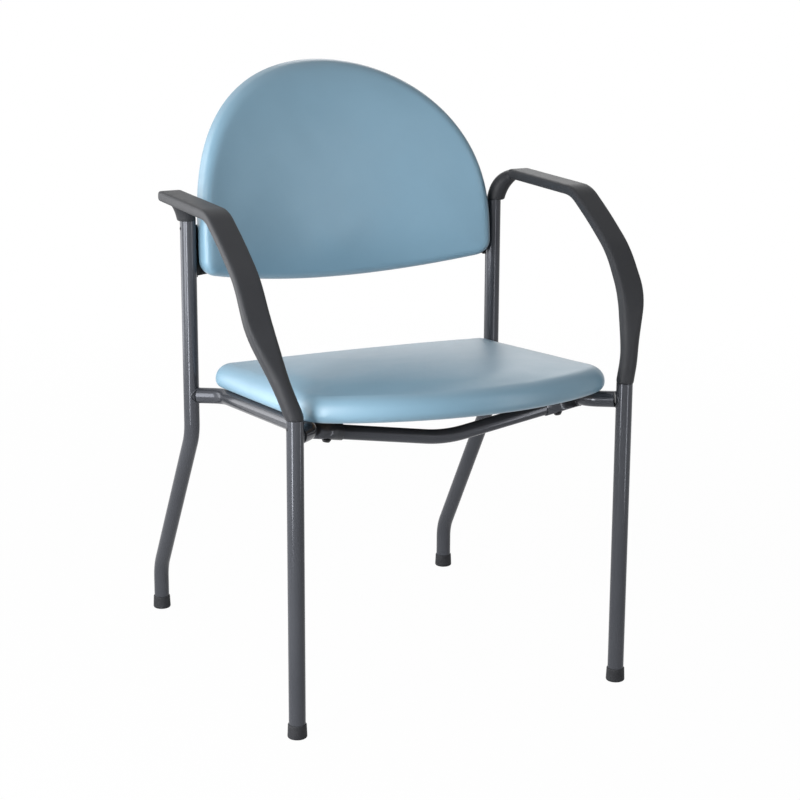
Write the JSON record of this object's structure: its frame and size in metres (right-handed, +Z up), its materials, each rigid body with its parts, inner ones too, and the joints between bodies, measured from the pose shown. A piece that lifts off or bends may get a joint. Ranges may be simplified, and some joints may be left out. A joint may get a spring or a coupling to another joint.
{
  "type": "armchair",
  "caption": "Tubular steel side chair with flat sweeping arms, an upholstered seat with a curved front, a domed curved back and splayed rear legs with foot caps.",
  "frame": {"origin": "on the floor, under the middle of the chair's width and depth", "axes": "+Z up, -Y the way the sitter faces, +X to the right of the chair as seen from the front"},
  "size_m": [0.576, 0.6268, 0.823],
  "materials": {
    "frame_paint": "satin graphite grey powder coat",
    "arm_plastic": "matt dark grey moulded",
    "pad_cover": "smooth light blue upholstery",
    "seat_plywood": "plain plywood",
    "black_plastic": "matt black moulded",
    "foot_rubber": "matt black",
    "fastener_steel": "black oxide",
    "plug_steel": "turned"
  },
  "bodies": {
    "root": {"front_leg_left": "frame_paint", "front_leg_right": "frame_paint", "rear_leg_left": "frame_paint", "rear_leg_right": "frame_paint", "side_rail_left": "frame_paint", "side_rail_right": "frame_paint", "front_socket_left": "frame_paint", "front_socket_right": "frame_paint", "rear_socket_left": "frame_paint", "rear_socket_right": "frame_paint", "front_crossbar": "frame_paint", "rear_crossbar": "frame_paint", "front_socket_screw_left": "fastener_steel", "front_socket_screw_right": "fastener_steel", "rear_socket_screw_left": "fastener_steel", "rear_socket_screw_right": "fastener_steel", "arm_left": "arm_plastic", "arm_right": "arm_plastic", "front_plug_left": "plug_steel", "front_plug_right": "plug_steel", "rear_plug_left": "plug_steel", "rear_plug_right": "plug_steel", "front_pin_left": "fastener_steel", "front_pin_right": "fastener_steel", "rear_pin_left": "fastener_steel", "rear_pin_right": "fastener_steel", "front_foot_left": "foot_rubber", "front_foot_right": "foot_rubber", "rear_foot_left": "foot_rubber", "rear_foot_right": "foot_rubber", "seat_cushion": "pad_cover", "seat_board": "seat_plywood", "front_tab_left": "frame_paint", "front_tab_right": "frame_paint", "rear_tab_left": "frame_paint", "rear_tab_right": "frame_paint", "front_seat_screw_left": "fastener_steel", "front_seat_screw_right": "fastener_steel", "rear_seat_screw_left": "fastener_steel", "rear_seat_screw_right": "fastener_steel", "back_cushion": "pad_cover", "back_shell": "black_plastic", "back_bracket_left": "black_plastic", "back_bracket_right": "black_plastic", "upper_back_screw_left": "fastener_steel", "upper_back_screw_right": "fastener_steel", "lower_back_screw_left": "fastener_steel", "lower_back_screw_right": "fastener_steel", "upper_bracket_screw_left": "fastener_steel", "upper_bracket_screw_right": "fastener_steel", "lower_bracket_screw_left": "fastener_steel", "lower_bracket_screw_right": "fastener_steel"}
  },
  "joints": []
}
